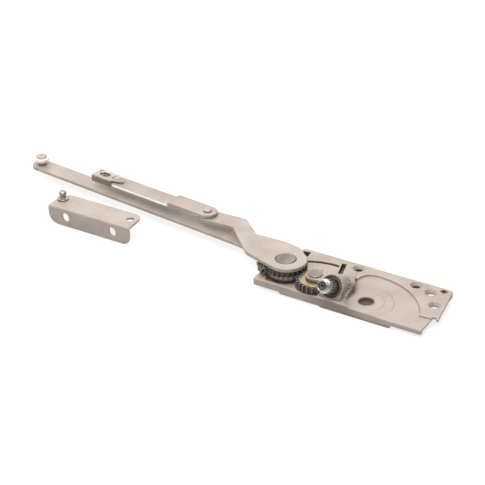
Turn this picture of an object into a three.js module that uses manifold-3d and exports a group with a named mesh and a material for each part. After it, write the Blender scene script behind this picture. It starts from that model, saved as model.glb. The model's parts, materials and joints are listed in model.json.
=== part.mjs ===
// Dual-arm casement window operator with its loose stud bracket.
// Millimetres, +Z up. The base lies flat with the room side towards -Y and the window side towards +Y.
// Everything is laid out from the base's front left corner, then shifted so that the origin is on
// the underside of the bottom cover.
import * as THREE from 'three';
import { mergeVertices } from 'three/addons/utils/BufferGeometryUtils.js';
import Module from 'manifold-3d';

const wasm = await Module();
wasm.setup();

// ---- driving dimensions -------------------------------------------------------------------
const GAP = 0.3;                      // clearance between separate pieces
const ORIGIN = { x: 72, y: 25 };      // reference point under the bottom cover

const BASE_LENGTH = 118.8;
const BASE_WIDTH = 51;
const PLATE_UNDERSIDE = 2.4;          // underside of the thin part of the casting
const PAD_UNDERSIDE = 1.2;            // underside of the deeper part under the gears
const RIM_TOP = 7.1;                  // top of the casting's rim
const RECESS_FLOOR = 5.7;             // floor of the big quarter-round recess

const HUB = { x: 14, y: 17.8 };       // axis that both arms swing on
const WHEEL = { x: 38.4, y: 12.3 };   // axis of the worm wheel
const MOUNT_HOLE = { x: 75, y: 12.6 };
const SCREW_HOLES = [
  { x: 52.8, y: 45.7 }, { x: 93.8, y: 45.7 }, { x: 105.8, y: 42.3 }, { x: 114.2, y: 29.6 },
];
const COVER_RIVETS = [
  { x: 51, y: 32 }, { x: 93, y: 4.5 }, { x: 93, y: 36 }, { x: 64, y: 3.6 },
];
const BAR_HALF_WIDTH = 6.9;
const LONG_ARM = { bottom: 7.4, top: 9.8 };
const GEAR = { bottom: 10.1, top: 13.9, teeth: 26 };
const CRANK = { bottom: 14.2, top: 16.8 };
const WORM_WHEEL = { bottom: 7.5, top: 12.0, teeth: 22 };
const ADDENDUM = 0.65;
const DEDENDUM = 0.95;

const SHAFT = { x: 53.7, y: 5.6, z: 14.1, tilt: 60 };   // centre of the hood's face; tilt from +Z
const HOOD_RADIUS = 8.3;
const SPLINE = { count: 20, tip: 4.9, root: 4.35 };
const WORM = { tip: 2.9, root: 2.1, lead: 3.0 };

const ROLLER = { x: -212, y: 57 };    // roller axis at rest
const CRANK_END = { x: -61, y: 42.7 };// pivot between crank arm and link
const LINK_SLOPE = 173.9;             // direction of the link at rest, degrees
const LINK_REACH = 91.8;              // link pivot to the stud hole
const JOGGLE = 30;                    // link pivot to the step in the link
const LINK = { upper: CRANK.top + GAP, drop: 2.2, thick: 2.4, neck: 81.8, tail: 98.4 };

const BRACKET = { x0: -166.5, x1: -99.5, y0: 4, y1: 23.7, top: 13.4, sheet: 2 };
const STUD = { x: -162, y: 15.4 };

const FULL = Math.PI * 2;
const rad = (degrees) => degrees * Math.PI / 180;

// ---- finishes -----------------------------------------------------------------------------
const finish = (color, roughness, metalness) => (
  new THREE.MeshStandardMaterial({ color, roughness, metalness })
);
const castFinish = finish(0xcfc5bc, 0.5, 0.35);
const armFinish = finish(0xd3c9c0, 0.42, 0.4);
const darkSteel = finish(0x4d4a44, 0.45, 0.85);
const brass = finish(0xc9a066, 0.35, 0.9);
const brightZinc = finish(0xc4c6c5, 0.25, 0.95);
const clipSteel = finish(0xa9a499, 0.35, 0.9);
const nylon = finish(0xeee8dc, 0.55, 0);

// ---- solids: join, cut and keep -----------------------------------------------------------
function solid(geometry) {
  geometry.deleteAttribute('normal');
  geometry.deleteAttribute('uv');
  const merged = mergeVertices(geometry, 1e-4);
  const vertProperties = new Float32Array(merged.attributes.position.array);
  const triVerts = new Uint32Array(merged.index.array);
  return new wasm.Manifold(new wasm.Mesh({ numProp: 3, vertProperties, triVerts }));
}

function shell(body) {
  const mesh = body.getMesh();
  const geometry = new THREE.BufferGeometry();
  geometry.setAttribute('position', new THREE.BufferAttribute(new Float32Array(mesh.vertProperties), 3));
  geometry.setIndex(new THREE.BufferAttribute(new Uint32Array(mesh.triVerts), 1));
  return geometry;
}

const join = (first, ...rest) => rest.reduce((body, other) => body.add(other), first);
const cut = (first, ...rest) => rest.reduce((body, other) => body.subtract(other), first);

// ---- shapes -------------------------------------------------------------------------------
function disc(centre, radius, bottom, top, sides = 40) {
  const geometry = new THREE.CylinderGeometry(radius, radius, top - bottom, sides);
  geometry.rotateX(Math.PI / 2);
  geometry.translate(centre.x, centre.y, (top + bottom) / 2);
  return solid(geometry);
}

function cone(centre, lowRadius, highRadius, bottom, top, sides = 32) {
  const geometry = new THREE.CylinderGeometry(highRadius, lowRadius, top - bottom, sides);
  geometry.rotateX(Math.PI / 2);
  geometry.translate(centre.x, centre.y, (top + bottom) / 2);
  return solid(geometry);
}

function box(x0, x1, y0, y1, z0, z1) {
  const geometry = new THREE.BoxGeometry(x1 - x0, y1 - y0, z1 - z0);
  geometry.translate((x0 + x1) / 2, (y0 + y1) / 2, (z0 + z1) / 2);
  return solid(geometry);
}

function plate(shape, bottom, top, curveSegments = 10) {
  const depth = top - bottom;
  const geometry = new THREE.ExtrudeGeometry(shape, { depth, bevelEnabled: false, curveSegments });
  geometry.translate(0, 0, bottom);
  return solid(geometry);
}

// A profile of [radius, height] points turned about the vertical through the given centre.
function turned(centre, profile, sides = 32) {
  const points = profile.map(([r, z]) => new THREE.Vector2(r, z));
  const geometry = new THREE.LatheGeometry(points, sides);
  geometry.rotateX(Math.PI / 2);
  geometry.translate(centre.x, centre.y, 0);
  return solid(geometry);
}

function polygon(points) {
  return new THREE.Shape(points.map(([x, y]) => new THREE.Vector2(x, y)));
}

// A polygon whose corners are rounded: each point is [x, y, radius].
function roundedPolygon(points) {
  const shape = new THREE.Shape();
  const count = points.length;
  for (let i = 0; i < count; i += 1) {
    const [x, y, radius = 0] = points[i];
    const here = new THREE.Vector2(x, y);
    const before = new THREE.Vector2(...points[(i + count - 1) % count].slice(0, 2));
    const after = new THREE.Vector2(...points[(i + 1) % count].slice(0, 2));
    const back = before.sub(here);
    const ahead = after.sub(here);
    const half = Math.acos(back.dot(ahead) / (back.length() * ahead.length())) / 2;
    const run = radius / Math.tan(half);
    const start = here.clone().addScaledVector(back.normalize(), run);
    const end = here.clone().addScaledVector(ahead.normalize(), run);
    if (i === 0) shape.moveTo(start.x, start.y);
    else shape.lineTo(start.x, start.y);
    if (radius > 0) shape.quadraticCurveTo(here.x, here.y, end.x, end.y);
  }
  shape.closePath();
  return shape;
}

// Straight-sided teeth with generous backlash; a tooth is centred on the angle `phase`.
function toothedPoints(teeth, root, tip, phase) {
  const pitch = FULL / teeth;
  const points = [];
  for (let i = 0; i < teeth; i += 1) {
    const middle = phase + i * pitch;
    points.push([root, middle - 0.27 * pitch], [tip, middle - 0.12 * pitch]);
    points.push([tip, middle + 0.12 * pitch], [root, middle + 0.27 * pitch]);
  }
  return points;
}

function fromPolar(centre, list) {
  return polygon(list.map(([r, a]) => [centre.x + r * Math.cos(a), centre.y + r * Math.sin(a)]));
}

// Lays a strip extruded from a (Y, Z) section along +X, starting at x.
function alongX(geometry, x) {
  return geometry.applyMatrix4(new THREE.Matrix4().set(0, 0, 1, x, 1, 0, 0, 0, 0, 1, 0, 0, 0, 0, 0, 1));
}

// ---- scene graph --------------------------------------------------------------------------
const operator = new THREE.Group();
operator.position.set(-ORIGIN.x, -ORIGIN.y, 0);

function part(name, body, material) {
  const mesh = new THREE.Mesh(shell(body), material);
  mesh.name = name;
  operator.add(mesh);
}

// Shaft pieces are drawn upright along +Z, then leaned over towards the room.
const lean = new THREE.Matrix4().makeRotationX(rad(SHAFT.tilt)).setPosition(SHAFT.x, SHAFT.y, SHAFT.z);
const leaned = (body) => body.transform(lean.toArray());
const AXIS = { x: 0, y: 0 };

// ---- base casting -------------------------------------------------------------------------
function ringSector(centre, inner, outer, fromDegrees, toDegrees, bottom, top) {
  const sector = new THREE.Shape();
  sector.absarc(centre.x, centre.y, outer, rad(fromDegrees), rad(toDegrees), false);
  sector.absarc(centre.x, centre.y, inner, rad(toDegrees), rad(fromDegrees), true);
  return plate(sector, bottom, top, 20);
}

// The hood runs out into the plate on its right in a low mound with a soft crest.
function shoulder() {
  const mound = new THREE.SphereGeometry(1, 28, 14);
  mound.scale(10.6, 15.5, 6.6);
  mound.translate(55.2, 18.2, 6.2);
  const crest = plate(polygon([[51.8, 40.3], [53.6, 40.6], [58.6, 27], [56, 24]]), 6, RIM_TOP + 0.45);
  return join(solid(mound).intersect(box(50, 70, 6.5, 40, 5, 12)), crest);
}

function baseCasting() {
  const outline = roundedPolygon([
    [0, 0, 0.8], [BASE_LENGTH, 0, 1.2], [BASE_LENGTH, 13.4], [119.4, 16.4], [121.2, 16.8], [122.4, 14.2],
    [123.6, 14.2], [117.6, BASE_WIDTH, 3.2], [11, BASE_WIDTH, 1.5], [0, 38, 2],
  ]);
  const padOutline = polygon([[19.4, 0], [47, 0], [47, 46], [19.4, 46]]);
  const deepPad = polygon([[46, 0], [98, 0], [98, 50], [46, 50]]);
  let body = join(
    plate(outline, PLATE_UNDERSIDE, RIM_TOP),
    plate(padOutline, PAD_UNDERSIDE, 4),
    plate(deepPad, PAD_UNDERSIDE, 4),
  );

  // hood that carries the crank shaft, and its flanks down to the plate
  const hood = leaned(disc(AXIS, HOOD_RADIUS, -18.5, 0, 48)).intersect(box(40, 70, 0, 40, 4, 40));
  const flank = new THREE.ExtrudeGeometry(
    polygon([[1.7, 4], [1.7, 7.2], [5.6, 14.0], [20.5, 5.6], [20.5, 4]]),
    { depth: 2 * HOOD_RADIUS - 0.6, bevelEnabled: false },
  );
  // bridge over the worm wheel that holds the top of its pin
  const tongue = join(
    disc(WHEEL, 6.0, 12.9, 15.2),
    plate(polygon([[WHEEL.x, 6.3], [SHAFT.x - 2, 8], [SHAFT.x - 2, 18.6], [WHEEL.x, 18.3]]), 12.9, 15.2),
  );
  body = join(body, hood, solid(alongX(flank, SHAFT.x - HOOD_RADIUS + 0.3)), tongue, shoulder());

  // recesses
  const quarter = new THREE.Shape();
  quarter.moveTo(71, -1);
  quarter.quadraticCurveTo(63.5, 2.5, 63.2, 10);
  quarter.lineTo(62.6, 22);
  quarter.quadraticCurveTo(58.4, 27, 58.2, 33.5);
  quarter.quadraticCurveTo(58.6, 42.6, 67, 43.2);
  quarter.absarc(69.2, -1.5, 44.9, rad(92), rad(23), true);
  quarter.lineTo(110.9, 13.8);
  quarter.lineTo(126, 15);
  quarter.lineTo(126, -1);
  const ringLand = disc(MOUNT_HOLE, 17.4, RECESS_FLOOR - 1, RECESS_FLOOR + 0.35, 56)
    .intersect(box(63.4, 100, 0, 40, 0, 10));
  const holeLand = disc(MOUNT_HOLE, 11.3, RECESS_FLOOR - 1, RECESS_FLOOR + 0.75, 44)
    .intersect(box(63.4, 100, 0, 40, 0, 10));
  body = join(body.subtract(plate(quarter, RECESS_FLOOR, 16, 16)), ringLand, holeLand);

  const swing = new THREE.Shape();
  swing.absarc(38.7, 2.2, 40.2, rad(87.5), rad(150), false);
  swing.lineTo(HUB.x, HUB.y);
  swing.lineTo(WHEEL.x, 14);
  swing.lineTo(43.5, 26);
  body = cut(
    body,
    plate(swing, RIM_TOP - 0.9, 12, 24),
    disc(HUB, 12.9, 4.2, 12, 48),
    disc(WHEEL, 12.5, 6.6, 12.9, 48),
    box(-1, HUB.x, 13, 23, 5.4, 12),
    plate(polygon([[7.6, 2.4], [27.5, 2.4], [25, 12], [5.2, 12]]), 5.6, 12),
    ringSector({ x: 38.7, y: 2.2 }, 39.6, 40.7, 88, 119, RIM_TOP - 2.2, 12),
  );

  // bores: arm hub, wheel pin, leaning shaft and its bearings
  body = cut(
    body,
    disc(HUB, 5.5, 0, 6),
    disc(WHEEL, 2.7, 0, 20),
    leaned(disc(AXIS, 7.1, -5, 3, 40)),
    leaned(disc(AXIS, 3.6, -20.4, -4, 28)),
    leaned(disc(AXIS, 2.1, -22.1, -19, 20)),
  );

  // the right end is a shell: hollow below, thinnest beyond the last screw
  body = cut(body, box(99, 130, 2.6, 48.8, -1, 4), box(118.6, 130, 13.4, 49.4, -1, 5.3));

  // fixing holes and the cast slots
  for (const hole of SCREW_HOLES) {
    body = cut(body, disc(hole, 2.4, 0, 9, 24), cone(hole, 2.0, 4.4, RIM_TOP - 2.6, RIM_TOP + 0.3));
  }
  body = cut(body, disc(MOUNT_HOLE, 4.6, 0, 9, 36));
  const slot = polygon([[40.5, 46.1], [44.1, 33.0], [47.0, 33.5], [43.4, 46.7]]);
  const squareHole = polygon([[109.6, 46.6], [113.4, 45.0], [115.0, 48.3], [111.4, 49.8]]);
  const wedge = polygon([[10.5, 47.2], [17.2, 38.6], [15.8, 48.8]]);
  body = cut(body, plate(slot, 3.2, 9), plate(squareHole, 0, 9), plate(wedge, 3.2, 9));

  // clearance for the bottom cover's rivets
  for (const spot of COVER_RIVETS) body = cut(body, disc(spot, 1.6, 0, 4.2, 14));
  return body;
}

part('base_casting', baseCasting(), castFinish);

// ---- bottom cover and its rivets ----------------------------------------------------------
const coverOutline = roundedPolygon([[48, 0.6, 1], [97, 0.6, 1], [97, 49, 2], [48, 49, 2]]);
let cover = cut(plate(coverOutline, 0, PAD_UNDERSIDE - GAP), disc(MOUNT_HOLE, 4.9, -1, 2, 36));
cover = cut(cover, ...SCREW_HOLES.map((hole) => disc(hole, 2.7, -1, 2, 24)));
cover = cut(cover, ...COVER_RIVETS.map((spot) => disc(spot, 1.3, -1, 2, 14)));
part('bottom_cover', cover, armFinish);
COVER_RIVETS.forEach((spot, i) => {
  part(`cover_rivet_${i + 1}`, disc(spot, 1.0, 0.2, 3.9, 14), darkSteel);
});

// ---- hub: bush, arms, gear and the rivet that holds them ----------------------------------
part('hub_bush', turned(HUB, [
  [3.95, 2.5], [5.2, 2.5], [5.2, 4.5], [10, 4.5], [10, 7.1], [3.95, 7.1], [3.95, 2.5],
], 36), brass);

const hexHole = (bottom, top) => disc(HUB, 5.0, bottom, top, 6);

function longArm() {
  // straight bar to the roller, then a bend in to the hub
  const along = new THREE.Vector2(ROLLER.x + 30, ROLLER.y - 36.1);
  const side = new THREE.Vector2(-along.y, along.x).setLength(BAR_HALF_WIDTH);
  const end = { x: ROLLER.x, y: ROLLER.y };
  const bar = plate(polygon([
    [end.x + side.x, end.y + side.y], [-30 + side.x, 36.1 + side.y], [-6, 24.5], [HUB.x - 2, HUB.y - 12],
    [HUB.x + 4, HUB.y + 11.6], [-6, 38], [-30 - side.x, 36.1 - side.y], [end.x - side.x, end.y - side.y],
  ]), LONG_ARM.bottom, LONG_ARM.top);
  const body = join(
    bar,
    disc(end, BAR_HALF_WIDTH, LONG_ARM.bottom, LONG_ARM.top, 32),
    disc(HUB, 12.4, LONG_ARM.bottom, LONG_ARM.top, 48),
  );
  return cut(body, hexHole(0, 20), disc(ROLLER, 2.5, 0, 20, 24));
}
part('long_arm', longArm(), armFinish);

const meshAngle = Math.atan2(WHEEL.y - HUB.y, WHEEL.x - HUB.x);
const centreDistance = Math.hypot(WHEEL.y - HUB.y, WHEEL.x - HUB.x);
const hubPitch = centreDistance * GEAR.teeth / (GEAR.teeth + WORM_WHEEL.teeth);
const wheelPitch = centreDistance - hubPitch;

function hubGear() {
  // fine teeth all round, with a coarse stop quadrant on the side away from the wheel
  const fine = toothedPoints(GEAR.teeth, hubPitch - DEDENDUM, hubPitch + ADDENDUM, meshAngle);
  const coarse = [];
  for (let i = 0; i < 4; i += 1) {
    const middle = 196 + i * 13;
    coarse.push([15.4, rad(middle - 5)], [18.5, rad(middle - 3)]);
    coarse.push([18.5, rad(middle + 3)], [15.4, rad(middle + 5)]);
  }
  const quadrant = fromPolar(HUB, [[8, rad(186)], ...coarse, [8, rad(246)]]);
  const body = plate(fromPolar(HUB, fine), GEAR.bottom, GEAR.top).add(plate(quadrant, GEAR.bottom, GEAR.top));
  return body.subtract(hexHole(0, 20));
}
part('hub_gear', hubGear(), darkSteel);

function crankArm() {
  const outline = roundedPolygon([
    [CRANK_END.x, CRANK_END.y - BAR_HALF_WIDTH - 0.3], [-37.5, 36.6, 2], [-13.2, 12.8, 9],
    [8.9, 5.5], [22.6, 7.2], [25.4, 26.2], [14.6, 35.0, 5], [2.6, 37.4, 5], [-18.9, 36.4, 3],
    [-34.6, 50.4, 3], [CRANK_END.x, CRANK_END.y + BAR_HALF_WIDTH],
  ]);
  const body = join(
    plate(outline, CRANK.bottom, CRANK.top),
    disc(CRANK_END, BAR_HALF_WIDTH, CRANK.bottom, CRANK.top, 32),
    disc({ x: HUB.x + 0.6, y: HUB.y }, 13.4, CRANK.bottom, CRANK.top, 56),
  );
  return cut(body, hexHole(0, 20), disc(HUB, 6.9, 15.4, 20, 44), disc(CRANK_END, 2.3, 0, 20, 24));
}
part('crank_arm', crankArm(), armFinish);

part('hub_rivet', join(
  disc(HUB, 5.0, 0.7, 2.1, 32),
  disc(HUB, 3.7, 2, 7.6, 28),
  disc(HUB, 4.6, LONG_ARM.bottom, 15.8, 6),
  turned(HUB, [[0, 15.7], [6.6, 15.7], [6.6, 16.8], [6.2, 17.1], [0, 17.1]], 44),
), brightZinc);

// ---- roller at the end of the long arm ----------------------------------------------------
part('roller_pin', turned(ROLLER, [
  [0, 6.2], [3.6, 6.2], [3.6, 7.1], [2.2, 7.1], [2.2, 10.1], [3.3, 10.1], [3.3, 12.4], [2.0, 12.4],
  [2.0, 15.8], [4.1, 15.8], [4.1, 16.3], [3.7, 16.7], [0, 16.7],
]), armFinish);
part('roller', turned(ROLLER, [
  [2.3, 12.7], [4.8, 12.7], [5.3, 13.1], [5.3, 15.1], [4.8, 15.5], [2.3, 15.5], [2.3, 12.7],
], 40), nylon);

// ---- worm wheel on its pin ----------------------------------------------------------------
function wormWheel() {
  const teeth = toothedPoints(
    WORM_WHEEL.teeth, wheelPitch - DEDENDUM, wheelPitch + ADDENDUM,
    meshAngle + Math.PI + Math.PI / WORM_WHEEL.teeth,
  );
  return cut(plate(fromPolar(WHEEL, teeth), WORM_WHEEL.bottom, WORM_WHEEL.top), disc(WHEEL, 2.75, 0, 20));
}
part('worm_wheel', wormWheel(), darkSteel);
part('wheel_thrust_washer', cut(disc(WHEEL, 5.6, 6.9, 7.2), disc(WHEEL, 2.75, 0, 20)), brass);
part('wheel_brass_washer', turned(WHEEL, [
  [2.75, 12.2], [10.2, 12.2], [10.2, 12.4], [8.6, 12.45], [8.2, 12.7], [2.75, 12.7], [2.75, 12.2],
], 44), brass);
part('wheel_pin', turned(WHEEL, [
  [0, 1.4], [2.4, 1.4], [2.4, 15.4], [4.8, 15.4], [4.8, 15.9], [4.4, 16.2], [0, 16.2],
], 36), brightZinc);

// ---- crank shaft: worm inside, splined end outside ----------------------------------------
// One closed skin: radius follows a helix along the worm's length.
function wormThread(bottom, top) {
  const around = 16;
  const rings = 34;
  const positions = [];
  const index = [];
  for (let i = 0; i <= rings; i += 1) {
    const z = bottom + (top - bottom) * i / rings;
    for (let j = 0; j < around; j += 1) {
      const angle = FULL * j / around;
      const wave = Math.cos(FULL * z / WORM.lead - angle);
      const lift = THREE.MathUtils.clamp(0.5 + 0.9 * wave, 0, 1);
      const radius = WORM.root + (WORM.tip - WORM.root) * lift;
      positions.push(radius * Math.cos(angle), radius * Math.sin(angle), z);
    }
  }
  const low = positions.length / 3;
  positions.push(0, 0, bottom, 0, 0, top);
  for (let j = 0; j < around; j += 1) {
    const next = (j + 1) % around;
    index.push(low, next, j, low + 1, rings * around + j, rings * around + next);
    for (let i = 0; i < rings; i += 1) {
      const a = i * around + j;
      const b = i * around + next;
      index.push(a, b, b + around, a, b + around, a + around);
    }
  }
  const geometry = new THREE.BufferGeometry();
  geometry.setAttribute('position', new THREE.Float32BufferAttribute(positions, 3));
  geometry.setIndex(index);
  return solid(geometry);
}

function splinedShaft() {
  const points = [];
  for (let i = 0; i < SPLINE.count; i += 1) {
    const pitch = FULL / SPLINE.count;
    const middle = i * pitch;
    points.push([SPLINE.root, middle - 0.32 * pitch], [SPLINE.tip, middle - 0.14 * pitch]);
    points.push([SPLINE.tip, middle + 0.14 * pitch], [SPLINE.root, middle + 0.32 * pitch]);
  }
  const limit = SPLINE.tip + 0.1;
  const splines = plate(fromPolar(AXIS, points), -1.4, 11.6)
    .intersect(turned(AXIS, [[0, -2], [limit, -2], [limit, 10.6], [4.2, 11.6], [0, 11.6]], 24));
  const body = join(
    splines,
    disc(AXIS, 3.2, -5.2, -1.2, 28),
    wormThread(-19.2, -5.0),
    disc(AXIS, 1.8, -21.8, -19.0, 20),
    turned(AXIS, [[0, 11.4], [3.9, 11.4], [3.9, 13.7], [3.5, 14.2], [0, 14.2]], 32),
  );
  return leaned(body.subtract(disc(AXIS, 2.8, 10.3, 15, 24)));
}
part('crank_shaft', splinedShaft(), brightZinc);

const socket = disc(AXIS, 1.6, 12.2, 15, 6);
part('handle_screw_plug', leaned(disc(AXIS, 2.5, 10.6, 13.7, 24).subtract(socket)), darkSteel);
// both bearing pieces are relieved where the worm wheel turns past them
const wheelSpace = disc(WHEEL, 12.5, 6.6, 12.9, 48);
part('shaft_bush', leaned(turned(AXIS, [
  [3.5, -4.7], [6.8, -4.7], [6.8, -2.2], [3.5, -2.2], [3.5, -4.7],
], 32)).subtract(wheelSpace), darkSteel);
part('shaft_retaining_ring', leaned(turned(AXIS, [
  [5.2, -1.8], [6.8, -1.8], [6.8, -0.9], [5.2, -0.9], [5.2, -1.8],
], 32)).subtract(wheelSpace), darkSteel);

// ---- link, its rivet and washer -----------------------------------------------------------
// The link is drawn along +X from its pivot, then turned to its direction at rest.
const swingLink = new THREE.Matrix4().makeRotationZ(rad(LINK_SLOPE)).setPosition(CRANK_END.x, CRANK_END.y, 0);
const onLink = (body) => body.transform(swingLink.toArray());

function linkBar() {
  const low = LINK.upper - LINK.drop;
  const profile = polygon([
    [-8, LINK.upper], [JOGGLE - 2, LINK.upper], [JOGGLE + 2, low], [104, low],
    [104, low + LINK.thick], [JOGGLE + 3, low + LINK.thick], [JOGGLE - 1, LINK.upper + LINK.thick],
    [-8, LINK.upper + LINK.thick],
  ]);
  const strip = new THREE.ExtrudeGeometry(profile, { depth: 20, bevelEnabled: false });
  strip.rotateX(Math.PI / 2);
  strip.translate(0, 10, 0);
  const outline = new THREE.Shape();
  outline.absarc(0, 0, BAR_HALF_WIDTH, rad(90), rad(270), false);
  outline.lineTo(LINK.neck - 4, -BAR_HALF_WIDTH);
  outline.quadraticCurveTo(LINK.neck, -BAR_HALF_WIDTH, LINK.neck, -4);
  outline.lineTo(LINK.tail - 3, -4);
  outline.quadraticCurveTo(LINK.tail, -4, LINK.tail, 0);
  outline.quadraticCurveTo(LINK.tail, 4, LINK.tail - 3, 4);
  outline.lineTo(LINK.neck, 4);
  outline.quadraticCurveTo(LINK.neck, BAR_HALF_WIDTH, LINK.neck - 4, BAR_HALF_WIDTH);
  const body = solid(strip).intersect(plate(outline, 0, 40, 10));
  return onLink(cut(body, disc(AXIS, 2.3, 0, 40, 24), disc({ x: LINK_REACH, y: 0 }, 3.1, 0, 40, 24)));
}
part('link_bar', linkBar(), armFinish);
part('link_rivet', turned(CRANK_END, [
  [0, 12.7], [3.4, 12.7], [3.4, 13.9], [2.0, 13.9], [2.0, 19.8], [3.0, 19.8], [3.0, 20.3], [2.4, 20.8],
  [0, 20.8],
]), brightZinc);

// ---- spring-steel snap clip that slides on the link's neck --------------------------------
function snapClip() {
  const low = LINK.upper - LINK.drop;
  const outer = { x0: 82.2, x1: 100.1, half: 5.4, z0: low - 1.1, z1: low + LINK.thick + 1.7 };
  const sleeve = cut(
    box(outer.x0, outer.x1, -outer.half, outer.half, outer.z0, outer.z1),
    box(outer.x0 - 1, outer.x1 + 1, -4.4, 4.4, low - 0.3, low + LINK.thick + 0.8),
  );
  const window = new THREE.Shape();
  window.absarc(LINK_REACH - 1.6, 0, 2.6, rad(90), rad(270), false);
  window.absarc(LINK_REACH + 1.6, 0, 2.6, rad(-90), rad(90), false);
  const tab = polygon([[83, -4.6], [83, 4.6], [79, 3.9], [73.9, 1.8], [75.2, -1.2], [78.6, -4]]);
  const body = join(sleeve, plate(tab, outer.z1 - 0.8, outer.z1));
  const slit = polygon([[96.6, -4.4], [98.2, -4.4], [98.2, -0.9], [96.6, -0.9]]);
  const rootSlit = polygon([[83.2, -3.6], [84.4, -3.6], [84.4, 1.6], [83.2, 1.6]]);
  return onLink(cut(
    body,
    plate(window, outer.z1 - 1.2, outer.z1 + 1),
    plate(window, outer.z0 - 1, outer.z0 + 1.2),
    plate(slit, outer.z1 - 0.6, outer.z1 + 1),
    plate(rootSlit, outer.z1 - 0.6, outer.z1 + 1),
  ));
}
part('snap_clip', snapClip(), clipSteel);

// ---- stud bracket for the sash, lying loose -----------------------------------------------
function studBracket() {
  const { x0, x1, y0, y1, top, sheet } = BRACKET;
  const section = new THREE.Shape();
  section.moveTo(y0, 0);
  section.lineTo(y0, top - 2.4);
  section.quadraticCurveTo(y0, top, y0 + 2.4, top);
  section.lineTo(y1, top);
  section.lineTo(y1, top - sheet);
  section.lineTo(y0 + sheet + 0.6, top - sheet);
  section.quadraticCurveTo(y0 + sheet, top - sheet, y0 + sheet, top - sheet - 0.6);
  section.lineTo(y0 + sheet, 0);
  const strip = new THREE.ExtrudeGeometry(section, { depth: x1 - x0, bevelEnabled: false, curveSegments: 6 });
  const above = plate(roundedPolygon([
    [x0, y0 - 4], [x1, y0 - 4], [x1, y0 + 1], [x1 - 1.2, y1, 7.5], [x0 + 1, y1, 9], [x0, y0 + 1],
  ]), -1, 20);
  const facing = new THREE.ExtrudeGeometry(
    roundedPolygon([[x0, 0, 9], [x1, 0, 6], [x1, 20], [x0, 20]]),
    { depth: 40, bevelEnabled: false, curveSegments: 8 },
  );
  facing.rotateX(Math.PI / 2);
  facing.translate(0, 35, 0);
  let body = solid(alongX(strip, x0)).intersect(above).intersect(solid(facing));
  for (const x of [-152.2, -113.2]) {
    const bore = new THREE.CylinderGeometry(2.9, 2.9, 8, 28);
    bore.scale(1, 1, 1.15);
    bore.translate(x, y0, 6.7);
    body = body.subtract(solid(bore));
  }
  return cut(body, disc({ x: -105.6, y: 15.4 }, 2.6, 0, 20, 28), disc(STUD, 2.7, 0, 20, 24));
}
part('stud_bracket', studBracket(), armFinish);
part('bracket_stud', turned(STUD, [
  [0, 9.9], [3.6, 9.9], [3.6, 11.1], [2.4, 11.1], [2.4, 13.7], [4.0, 13.7], [4.0, 14.5], [1.9, 14.8],
  [1.9, 16.8], [2.7, 17.2], [2.7, 18.8], [2.0, 19.6], [0, 19.8],
], 36), brightZinc);

export default operator;
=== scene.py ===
import json
import math

import bmesh
import bpy
from mathutils import Matrix, Vector, noise


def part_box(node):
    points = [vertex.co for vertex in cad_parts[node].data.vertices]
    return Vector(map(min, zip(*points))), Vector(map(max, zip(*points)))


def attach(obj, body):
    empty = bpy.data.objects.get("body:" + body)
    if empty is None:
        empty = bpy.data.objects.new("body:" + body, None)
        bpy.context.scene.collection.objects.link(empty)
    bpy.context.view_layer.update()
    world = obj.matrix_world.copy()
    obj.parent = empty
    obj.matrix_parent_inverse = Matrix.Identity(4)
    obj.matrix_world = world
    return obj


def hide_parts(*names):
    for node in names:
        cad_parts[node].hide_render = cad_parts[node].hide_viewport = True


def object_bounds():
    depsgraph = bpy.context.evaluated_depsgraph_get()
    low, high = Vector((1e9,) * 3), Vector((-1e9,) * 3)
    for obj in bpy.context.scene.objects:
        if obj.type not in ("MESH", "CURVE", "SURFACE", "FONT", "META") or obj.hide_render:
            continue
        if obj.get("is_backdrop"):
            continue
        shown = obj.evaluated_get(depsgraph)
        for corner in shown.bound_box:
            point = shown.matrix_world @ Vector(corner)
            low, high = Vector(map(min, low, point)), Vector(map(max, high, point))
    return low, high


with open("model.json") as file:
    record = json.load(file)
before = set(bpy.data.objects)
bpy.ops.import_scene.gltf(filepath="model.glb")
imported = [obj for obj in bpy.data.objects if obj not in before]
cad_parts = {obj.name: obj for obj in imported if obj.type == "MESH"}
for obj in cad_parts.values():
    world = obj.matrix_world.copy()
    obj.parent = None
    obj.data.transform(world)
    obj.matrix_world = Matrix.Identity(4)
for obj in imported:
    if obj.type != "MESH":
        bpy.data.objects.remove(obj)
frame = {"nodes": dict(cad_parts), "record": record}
cad_low, cad_high = (tuple(corner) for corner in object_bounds())

# ---- stage --------------------------------------------------------------------------------
# The operator and its bracket lie on a plain pale sweep, seen from the room side and a little
# from the right, through a long lens. Soft boxes overhead light the tops, one of them without
# shadows; the sweep glows a little, so the walls get light and the shadows on it stay faint.
base_corner = Vector((-0.072, -0.025, 0.0024))
view_turn = 0.53566
view_rise = 0.54183
view_distance = 1.0
towards_camera = Vector((
    math.sin(view_turn) * math.cos(view_rise),
    -math.cos(view_turn) * math.cos(view_rise),
    math.sin(view_rise),
))
sideways = Vector((math.cos(view_turn), math.sin(view_turn), 0.0))
upwards = towards_camera.cross(sideways)
lens = bpy.data.cameras.new("camera")
lens.sensor_width = 36.0
lens.lens = 115.46
lens.shift_x = -0.0216
lens.shift_y = 0.0862
lens.clip_start = 0.05
camera = bpy.data.objects.new("camera", lens)
turn = Matrix((sideways, upwards, towards_camera)).transposed().to_4x4()
camera.matrix_world = Matrix.Translation(base_corner + view_distance * towards_camera) @ turn
bpy.context.collection.objects.link(camera)
bpy.context.scene.camera = camera
bpy.context.scene.view_settings.view_transform = "Standard"

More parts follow.
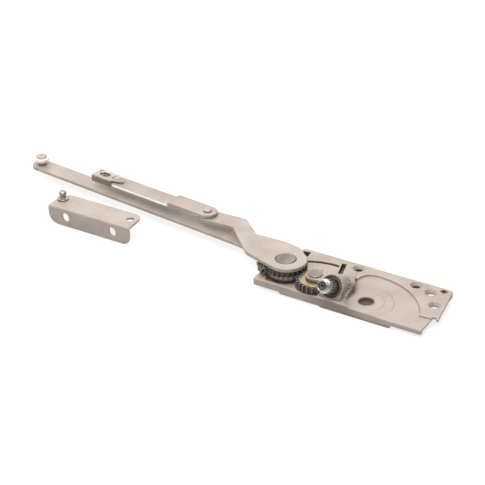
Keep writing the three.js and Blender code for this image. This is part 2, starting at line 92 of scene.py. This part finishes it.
sweep_half_width = 3.0
sweep_height = cad_low[2] - 0.0001
sweep_work = bmesh.new()
bmesh.ops.create_grid(sweep_work, x_segments=1, y_segments=1, size=sweep_half_width)
bmesh.ops.translate(sweep_work, verts=sweep_work.verts, vec=(0.0, 0.0, sweep_height))
sweep_mesh = bpy.data.meshes.new("sweep")
sweep_work.to_mesh(sweep_mesh)
sweep_work.free()
sweep = bpy.data.objects.new("sweep", sweep_mesh)
bpy.context.collection.objects.link(sweep)
sweep_paper = bpy.data.materials.new("sweep_paper")
sweep_paper.use_nodes = True
paper = sweep_paper.node_tree.nodes["Principled BSDF"]
paper.inputs["Base Color"].default_value = (0.3, 0.3, 0.3, 1.0)
paper.inputs["Emission Color"].default_value = (1.0, 1.0, 1.0, 1.0)
paper.inputs["Emission Strength"].default_value = 0.6
paper.inputs["Roughness"].default_value = 0.9
paper.inputs["Specular IOR Level"].default_value = 0.1
sweep_mesh.materials.append(sweep_paper)
sweep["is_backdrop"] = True


def soft_box(name, place, size, power, shadows=True):
    """A rectangular light aimed at the middle of the operator."""
    middle = Vector((-0.08, 0.0, 0.0))
    light = bpy.data.lights.new(name, "AREA")
    light.shape = "RECTANGLE"
    light.size, light.size_y = size
    light.energy = power
    light.use_shadow = shadows
    lamp = bpy.data.objects.new(name, light)
    lamp.location = place
    lamp.rotation_euler = (middle - Vector(place)).to_track_quat("-Z", "Y").to_euler()
    bpy.context.collection.objects.link(lamp)


soft_box("overhead_box", place=(-0.15, 0.15, 1.2), size=(1.9, 1.5), power=15.0)
soft_box("fill_box", place=(-0.08, 0.0, 1.6), size=(0.8, 0.8), power=16.0, shadows=False)
soft_box("front_box", place=(0.1, -0.75, 1.0), size=(0.5, 0.4), power=7.5)
soft_box("left_box", place=(-1.2, -0.1, 0.7), size=(0.5, 0.6), power=6.0)
soft_box("back_box", place=(-0.75, 1.15, 0.8), size=(1.5, 0.7), power=6.0)
room = bpy.data.worlds.new("room")
room.use_nodes = True
dim_light = room.node_tree.nodes["Background"]
dim_light.inputs["Color"].default_value = (1.0, 0.99, 0.98, 1.0)
dim_light.inputs["Strength"].default_value = 0.24
bpy.context.scene.world = room

# ---- base casting -------------------------------------------------------------------------
# Zinc die casting with a satin champagne coat: plate, hood for the crank shaft and bridge over
# the worm wheel in one piece. Every edge is soft from the die, and the skin beside the hood is
# rough where the gate was broken off.
body_of = {
    node: body
    for body, members in frame["record"]["behaviour"]["bodies"].items()
    for node in members
}


def welded(node):
    """The CAD node's triangles joined up, with its flat faces whole again."""
    work = bmesh.new()
    work.from_mesh(frame["nodes"][node].data)
    bmesh.ops.remove_doubles(work, verts=work.verts, dist=1e-6)
    bmesh.ops.dissolve_limit(
        work, angle_limit=math.radians(0.6), use_dissolve_boundaries=False,
        verts=work.verts, edges=work.edges,
    )
    return work


def make_piece(work, name, finish):
    """Turns a bmesh into an object that shades smoothly except across real corners."""
    real_corner = math.radians(50)
    for face in work.faces:
        face.smooth = True
    for edge in work.edges:
        edge.smooth = not edge.is_manifold or edge.calc_face_angle(0.0) < real_corner
    mesh = bpy.data.meshes.new(name)
    work.to_mesh(mesh)
    work.free()
    mesh.materials.append(finish)
    piece = bpy.data.objects.new(name, mesh)
    bpy.context.collection.objects.link(piece)
    return piece


def stand_for(piece, node):
    """The piece is shown in place of a CAD node and moves with that node's body."""
    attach(piece, body_of[node])
    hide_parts(node)


def baked(piece):
    """Makes the piece's modifiers part of its mesh."""
    scene_state = bpy.context.evaluated_depsgraph_get()
    shaped = bpy.data.meshes.new_from_object(piece.evaluated_get(scene_state))
    piece.modifiers.clear()
    piece.data = shaped


def cast_piece(node, finish, grain, passes, keep):
    """A node's solid with the rounded edges and corners that a die or a tumbler leaves."""
    piece = make_piece(welded(node), node + "_cast", finish)
    skin = piece.modifiers.new("skin", "REMESH")
    skin.mode = "VOXEL"
    skin.voxel_size = grain
    rounding = piece.modifiers.new("rounding", "SMOOTH")
    rounding.factor = 0.5
    rounding.iterations = passes
    thinning = piece.modifiers.new("thinning", "DECIMATE")
    thinning.ratio = keep
    baked(piece)
    piece.data.shade_smooth()
    stand_for(piece, node)
    return piece


def new_finish(name):
    """A material, its node tree, its shader, and the piece's own coordinates in it."""
    finish = bpy.data.materials.new(name)
    finish.use_nodes = True
    tree = finish.node_tree
    shader = tree.nodes["Principled BSDF"]
    spot = tree.nodes.new("ShaderNodeTexCoord").outputs["Object"]
    return finish, tree, shader, spot


def noise_cloud(tree, spot, scale, detail=3.0):
    """Soft noise from 0 to 1; the scale is in lumps per metre."""
    cloud = tree.nodes.new("ShaderNodeTexNoise")
    cloud.inputs["Scale"].default_value = scale
    cloud.inputs["Detail"].default_value = detail
    tree.links.new(spot, cloud.inputs["Vector"])
    return cloud.outputs["Fac"]


def spread(tree, value, low, high, bottom, top):
    """Maps low..high of a value onto bottom..top."""
    node = tree.nodes.new("ShaderNodeMapRange")
    node.inputs["From Min"].default_value = low
    node.inputs["From Max"].default_value = high
    node.inputs["To Min"].default_value = bottom
    node.inputs["To Max"].default_value = top
    tree.links.new(value, node.inputs["Value"])
    return node.outputs["Result"]


def blend_colour(tree, share, first, second):
    """Mixes two colours, each a tuple or a socket, by a share that is a socket."""
    mix = tree.nodes.new("ShaderNodeMix")
    mix.data_type = "RGBA"
    tree.links.new(share, mix.inputs["Factor"])
    for socket, colour in (("A", first), ("B", second)):
        target = next(s for s in mix.inputs if s.name == socket and s.type == "RGBA")
        if isinstance(colour, tuple):
            target.default_value = (*colour, 1.0)
        else:
            tree.links.new(colour, target)
    return next(s for s in mix.outputs if s.type == "RGBA")


def product(tree, first, second):
    """Two sockets multiplied."""
    node = tree.nodes.new("ShaderNodeMath")
    node.operation = "MULTIPLY"
    tree.links.new(first, node.inputs[0])
    tree.links.new(second, node.inputs[1])
    return node.outputs[0]


def edge_share(tree, reach):
    """1 on outer edges, falling to 0 within the reach."""
    rounded = tree.nodes.new("ShaderNodeBevel")
    rounded.samples = 4
    rounded.inputs["Radius"].default_value = reach
    surface = tree.nodes.new("ShaderNodeNewGeometry")
    likeness = tree.nodes.new("ShaderNodeVectorMath")
    likeness.operation = "DOT_PRODUCT"
    tree.links.new(rounded.outputs["Normal"], likeness.inputs[0])
    tree.links.new(surface.outputs["Normal"], likeness.inputs[1])
    return spread(tree, likeness.outputs["Value"], 0.995, 0.86, 0.0, 1.0)


def corner_shade_share(tree, reach):
    """1 deep in corners and slots, where painted shade darkens the colour; 0 in the open."""
    shelter = tree.nodes.new("ShaderNodeAmbientOcclusion")
    shelter.samples = 6
    shelter.inputs["Distance"].default_value = reach
    return spread(tree, shelter.outputs["AO"], 0.8, 0.3, 0.0, 1.0)


def metal_finish(name, tints, edge, corner_shade, metallic, roughness, grain, relief, nook=0.0015):
    """Clouded colour, brighter edges (rubbed, partly a painted highlight), painted shade in corners
    and a fine surface grain.
    """
    edge_band_width = 0.0005
    grain_depth = 0.00004
    finish, tree, shader, spot = new_finish(name)
    cloud = spread(tree, noise_cloud(tree, spot, 55.0), 0.35, 0.65, 0.0, 1.0)
    colour = blend_colour(tree, cloud, tints[0], tints[1])
    speck = noise_cloud(tree, spot, grain, 4.0)
    patchy_edge_tone = spread(tree, speck, 0.3, 0.7, 0.35, 0.9)
    # brighter edges: partly rubbed paint, partly a painted highlight
    colour = blend_colour(tree, product(tree, edge_share(tree, edge_band_width), patchy_edge_tone), colour, edge)
    # painted shade in corners and slots, in patches
    patchy_corner_shade = spread(tree, noise_cloud(tree, spot, 340.0), 0.3, 0.7, 0.55, 1.0)
    colour = blend_colour(tree, product(tree, corner_shade_share(tree, nook), patchy_corner_shade), colour, corner_shade)
    tree.links.new(colour, shader.inputs["Base Color"])
    wear = noise_cloud(tree, spot, 160.0)
    tree.links.new(
        spread(tree, wear, 0.3, 0.7, roughness - 0.06, roughness + 0.07), shader.inputs["Roughness"],
    )
    shader.inputs["Metallic"].default_value = metallic
    bump = tree.nodes.new("ShaderNodeBump")
    bump.inputs["Strength"].default_value = relief
    bump.inputs["Distance"].default_value = grain_depth
    tree.links.new(speck, bump.inputs["Height"])
    tree.links.new(bump.outputs["Normal"], shader.inputs["Normal"])
    return finish


def around(tree, spot, centre, inner, outer):
    """1 within the inner distance of a point, falling to 0 at the outer one."""
    gap = tree.nodes.new("ShaderNodeVectorMath")
    gap.operation = "DISTANCE"
    gap.inputs[1].default_value = centre
    tree.links.new(spot, gap.inputs[0])
    return spread(tree, gap.outputs["Value"], inner, outer, 1.0, 0.0)


def facing_front(tree):
    """1 on walls that face the room with the arms closed, 0 on the others."""
    surface = tree.nodes.new("ShaderNodeTexCoord")
    parts = tree.nodes.new("ShaderNodeSeparateXYZ")
    tree.links.new(surface.outputs["Normal"], parts.inputs["Vector"])
    return spread(tree, parts.outputs["Y"], -0.45, -0.8, 0.0, 1.0)


def overlay(finish, share, colour):
    """Lays a further colour over a finish where the share is 1."""
    tree = finish.node_tree
    shader = tree.nodes["Principled BSDF"]
    below = shader.inputs["Base Color"].links[0].from_socket
    tree.links.new(blend_colour(tree, share, below, colour), shader.inputs["Base Color"])


champagne_casting = metal_finish(
    "champagne_casting", tints=((0.272, 0.222, 0.186), (0.325, 0.270, 0.230)),
    edge=(0.44, 0.385, 0.335), corner_shade=(0.042, 0.031, 0.023), metallic=0.15, roughness=0.5,
    grain=2100.0, relief=0.4, nook=0.0042,
)
casting = cast_piece("base_casting", champagne_casting, grain=0.00033, passes=2, keep=0.42)

tree = champagne_casting.node_tree
spot = tree.nodes.new("ShaderNodeTexCoord").outputs["Object"]

# painted shade on the front wall under the overhanging hood, and in slots and holes
# painted shade: front walls near the shaft are darkened as if under the hood's overhang
wall_under_shaft = (-0.0135, -0.025, 0.002)
near_shaft = around(tree, spot, wall_under_shaft, inner=0.006, outer=0.024)
hood_front_shade = product(tree, near_shaft, facing_front(tree))
overlay(champagne_casting, spread(tree, hood_front_shade, 0.0, 1.0, 0.0, 0.55), (0.10, 0.078, 0.060))
slot_depth = 0.0065
# painted shade in slots and holes, darker the deeper they are
slot_shade = spread(tree, corner_shade_share(tree, slot_depth), 0.55, 1.0, 0.0, 0.85)
overlay(champagne_casting, slot_shade, (0.026, 0.018, 0.013))
# painted shade on the wall of the large hole
large_hole = (0.003, -0.0124, 0.0058)
hole_shade = around(tree, spot, large_hole, inner=0.0047, outer=0.0062)
overlay(champagne_casting, spread(tree, hole_shade, 0.0, 1.0, 0.0, 0.8), (0.03, 0.021, 0.015))

# the stump of the broken gate: dark specks on a lumpy skin
gate_scar = Vector((-0.0112, -0.0085, 0.0115))
gate_reach = 0.0075
lump_height = 0.0008
near_scar = around(tree, spot, gate_scar, inner=0.4 * gate_reach, outer=0.9 * gate_reach)
specks = spread(tree, noise_cloud(tree, spot, 780.0), 0.52, 0.6, 0.0, 1.0)
overlay(champagne_casting, product(tree, near_scar, specks), (0.07, 0.052, 0.038))
for point in casting.data.vertices:
    nearness = 1.0 - (point.co - gate_scar).length / gate_reach
    if nearness > 0.0:
        lumps = noise.fractal(point.co * 700.0, 0.6, 2.0, 3)
        point.co += point.normal * lumps * lump_height * min(1.0, nearness * 2.0)

# ---- bottom cover and its rivets ----------------------------------------------------------
# A sheet-steel plate riveted under the casting keeps the grease in. It carries the same coat,
# and its four rivets are dark steel.
champagne_steel = metal_finish(
    "champagne_steel", tints=((0.285, 0.238, 0.202), (0.345, 0.292, 0.252)), edge=(0.48, 0.42, 0.37),
    corner_shade=(0.10, 0.076, 0.058), metallic=0.2, roughness=0.46, grain=2600.0, relief=0.2,
)


def keep_inside(points, node):
    """Brings points that strayed past the node's box back onto it."""
    low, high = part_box(node)
    for point in points:
        point.co = [min(max(at, least), most) for at, least, most in zip(point.co, low, high)]


def eased_piece(node, finish, width, steps=2):
    """A node's solid with its corners taken off by a narrow round."""
    sharp_turn = math.radians(38)
    work = welded(node)
    corners = [
        edge for edge in work.edges
        if edge.is_manifold and edge.calc_face_angle(0.0) > sharp_turn
    ]
    bmesh.ops.bevel(
        work, geom=corners, offset=width, offset_type="OFFSET", segments=steps, profile=0.5,
        affect="EDGES", clamp_overlap=False, material=-1,
    )
    keep_inside(work.verts, node)
    piece = make_piece(work, node + "_eased", finish)
    shading = piece.modifiers.new("flat faces stay flat", "WEIGHTED_NORMAL")
    shading.keep_sharp = True
    stand_for(piece, node)


eased_piece("bottom_cover", champagne_steel, 0.00018)
dark_steel = metal_finish(
    "dark_steel", tints=((0.05, 0.05, 0.04), (0.125, 0.10, 0.078)), edge=(0.5, 0.48, 0.43),
    corner_shade=(0.006, 0.0055, 0.0045), metallic=0.7, roughness=0.4, grain=1900.0, relief=0.5,
)
for number in range(1, 5):
    eased_piece("cover_rivet_%d" % number, dark_steel, 0.0001)

# ---- arms ---------------------------------------------------------------------------------
# Two arms stamped from flat steel and coated: the long one runs under the gear to the roller,
# the bent one lies on top and drives the link. Their edges are only lightly tumbled.
eased_piece("long_arm", champagne_steel, 0.0004, steps=3)
eased_piece("crank_arm", champagne_steel, 0.0004, steps=3)

# ---- hub: gear, rivet and bush ------------------------------------------------------------
# A sintered gear between the arms, greased and dark, with a lumpy left end. The rivet
# through it is spun over flush with the upper arm, and its neck runs in a brass bush.
gear = cast_piece("hub_gear", dark_steel, grain=0.00026, passes=1, keep=0.5)
lumpy_end = Vector((-0.0690, -0.0200, 0.0125))
lumpy_reach = 0.0095
sinking = 0.0002
for point in gear.data.vertices:
    nearness = 1.0 - (point.co - lumpy_end).length / lumpy_reach
    if nearness > 0.0:
        lumps = noise.fractal(point.co * 420.0, 0.7, 2.0, 4)
        point.co += point.normal * (lumps * lump_height - sinking) * min(1.0, nearness * 2.5)
keep_inside(gear.data.vertices, "hub_gear")
rivet_steel = metal_finish(
    "rivet_steel", tints=((0.135, 0.112, 0.092), (0.235, 0.21, 0.182)), edge=(0.46, 0.43, 0.40),
    corner_shade=(0.03, 0.025, 0.02), metallic=0.55, roughness=0.38, grain=1500.0, relief=0.5,
)
eased_piece("hub_rivet", rivet_steel, 0.0002)
bearing_brass = metal_finish(
    "bearing_brass", tints=((0.27, 0.195, 0.115), (0.40, 0.30, 0.19)), edge=(0.85, 0.72, 0.52),
    corner_shade=(0.10, 0.055, 0.02), metallic=0.8, roughness=0.3, grain=1200.0, relief=0.15,
)
eased_piece("hub_bush", bearing_brass, 0.0002)

# ---- roller -------------------------------------------------------------------------------
# An off-white nylon roller turns on a headed steel pin at the end of the long arm, and runs in
# the track of the sash.
roller_nylon, tree, shader, spot = new_finish("roller_nylon")
cloud = spread(tree, noise_cloud(tree, spot, 260.0), 0.3, 0.7, 0.0, 1.0)
nylon = blend_colour(tree, cloud, (0.71, 0.63, 0.54), (0.78, 0.71, 0.62))
tree.links.new(nylon, shader.inputs["Base Color"])
sheen_patches = spread(tree, noise_cloud(tree, spot, 900.0), 0.3, 0.7, 0.42, 0.6)
tree.links.new(sheen_patches, shader.inputs["Roughness"])
shader.inputs["Subsurface Weight"].default_value = 0.25
shader.inputs["Subsurface Radius"].default_value = (0.002, 0.0015, 0.001)
bump = tree.nodes.new("ShaderNodeBump")
bump.inputs["Strength"].default_value = 0.2
bump.inputs["Distance"].default_value = 0.00003
tree.links.new(noise_cloud(tree, spot, 1500.0), bump.inputs["Height"])
tree.links.new(bump.outputs["Normal"], shader.inputs["Normal"])
eased_piece("roller", roller_nylon, 0.0003, steps=3)
eased_piece("roller_pin", champagne_steel, 0.00025)

# ---- worm wheel ---------------------------------------------------------------------------
# The wheel that the worm drives turns on a riveted pin under the bridge, between two brass
# washers.
eased_piece("worm_wheel", dark_steel, 0.00015)
eased_piece("wheel_thrust_washer", bearing_brass, 0.0001)
eased_piece("wheel_brass_washer", bearing_brass, 0.00015)
eased_piece("wheel_pin", rivet_steel, 0.0002)

# ---- crank shaft --------------------------------------------------------------------------
# One turned and rolled steel shaft, bright zinc plated: worm inside the hood, splined end
# outside for the handle. The threaded end is closed by a dark screw with a hexagon recess.
bright_zinc = metal_finish(
    "bright_zinc", tints=((0.36, 0.365, 0.345), (0.56, 0.565, 0.54)), edge=(0.92, 0.92, 0.90),
    corner_shade=(0.02, 0.02, 0.018), metallic=1.0, roughness=0.24, grain=1300.0, relief=0.25,
)
cast_piece("crank_shaft", bright_zinc, grain=0.00013, passes=1, keep=0.6)
eased_piece("handle_screw_plug", dark_steel, 0.00015)
eased_piece("shaft_bush", dark_steel, 0.0001)
eased_piece("shaft_retaining_ring", dark_steel, 0.0001)

# ---- link ---------------------------------------------------------------------------------
# A coated steel strip with a step in it, riveted to the bent arm. The snap clip slides on its
# far end, and beside the clip the top of the strip's front edge carries a painted highlight.
def coordinate(tree, axis):
    """One of the piece's own coordinates."""
    parts = tree.nodes.new("ShaderNodeSeparateXYZ")
    tree.links.new(tree.nodes.new("ShaderNodeTexCoord").outputs["Object"], parts.inputs["Vector"])
    return parts.outputs[axis]


champagne_link = metal_finish(
    "champagne_link", tints=((0.275, 0.230, 0.195), (0.33, 0.280, 0.242)), edge=(0.48, 0.42, 0.37),
    corner_shade=(0.10, 0.076, 0.058), metallic=0.2, roughness=0.46, grain=2600.0, relief=0.2,
)
tree = champagne_link.node_tree
strip_thickness = 0.0024
strip_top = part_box("link_bar")[0][2] + strip_thickness
highlight_left = -0.2145
highlight_right = -0.1620
fade = 0.003
# painted highlight: a bright stripe along the top of the front face between the clip and the step
high_up = spread(tree, coordinate(tree, "Z"), strip_top - 0.0013, strip_top - 0.0010, 0.0, 1.0)
from_left = spread(tree, coordinate(tree, "X"), highlight_left, highlight_left + fade, 0.0, 1.0)
from_right = spread(tree, coordinate(tree, "X"), highlight_right, highlight_right - fade, 0.0, 1.0)
highlight_stretch = product(tree, high_up, product(tree, from_left, from_right))
front_edge_highlight = product(tree, highlight_stretch, facing_front(tree))
overlay(champagne_link, front_edge_highlight, (0.93, 0.88, 0.82))
eased_piece("link_bar", champagne_link, 0.00035, steps=3)
eased_piece("link_rivet", champagne_steel, 0.00025)

# ---- snap clip ----------------------------------------------------------------------------
# Folded spring steel, nickel coloured, with painted shade on its front walls below the fold
# and brighter edges that are partly a painted highlight. It slides along the link to lock it on the
# stud.
clip_steel = metal_finish(
    "clip_steel", tints=((0.25, 0.22, 0.175), (0.45, 0.41, 0.35)), edge=(0.90, 0.86, 0.78),
    corner_shade=(0.016, 0.013, 0.01), metallic=0.7, roughness=0.3, grain=700.0, relief=0.12,
)
tree = clip_steel.node_tree
clip_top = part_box("snap_clip")[1][2]
fold_top = clip_top - 0.0004
fold_bottom = clip_top - 0.0012
# painted shade on the front walls below the fold
front_shade_below_fold = spread(tree, coordinate(tree, "Z"), fold_top, fold_bottom, 0.0, 0.85)
overlay(clip_steel, product(tree, front_shade_below_fold, facing_front(tree)), (0.125, 0.10, 0.07))
eased_piece("snap_clip", clip_steel, 0.00025)

# ---- stud bracket -------------------------------------------------------------------------
# Folded sheet steel with the same coat, loose here and screwed to the sash in use. A turned
# stud is riveted to it, and the link's clip snaps on that stud.
eased_piece("stud_bracket", champagne_steel, 0.00035, steps=3)
stud_steel = metal_finish(
    "stud_steel", tints=((0.27, 0.235, 0.20), (0.36, 0.32, 0.285)), edge=(0.62, 0.58, 0.54),
    corner_shade=(0.045, 0.036, 0.03), metallic=0.8, roughness=0.3, grain=1500.0, relief=0.15,
)
eased_piece("bracket_stud", stud_steel, 0.00025)
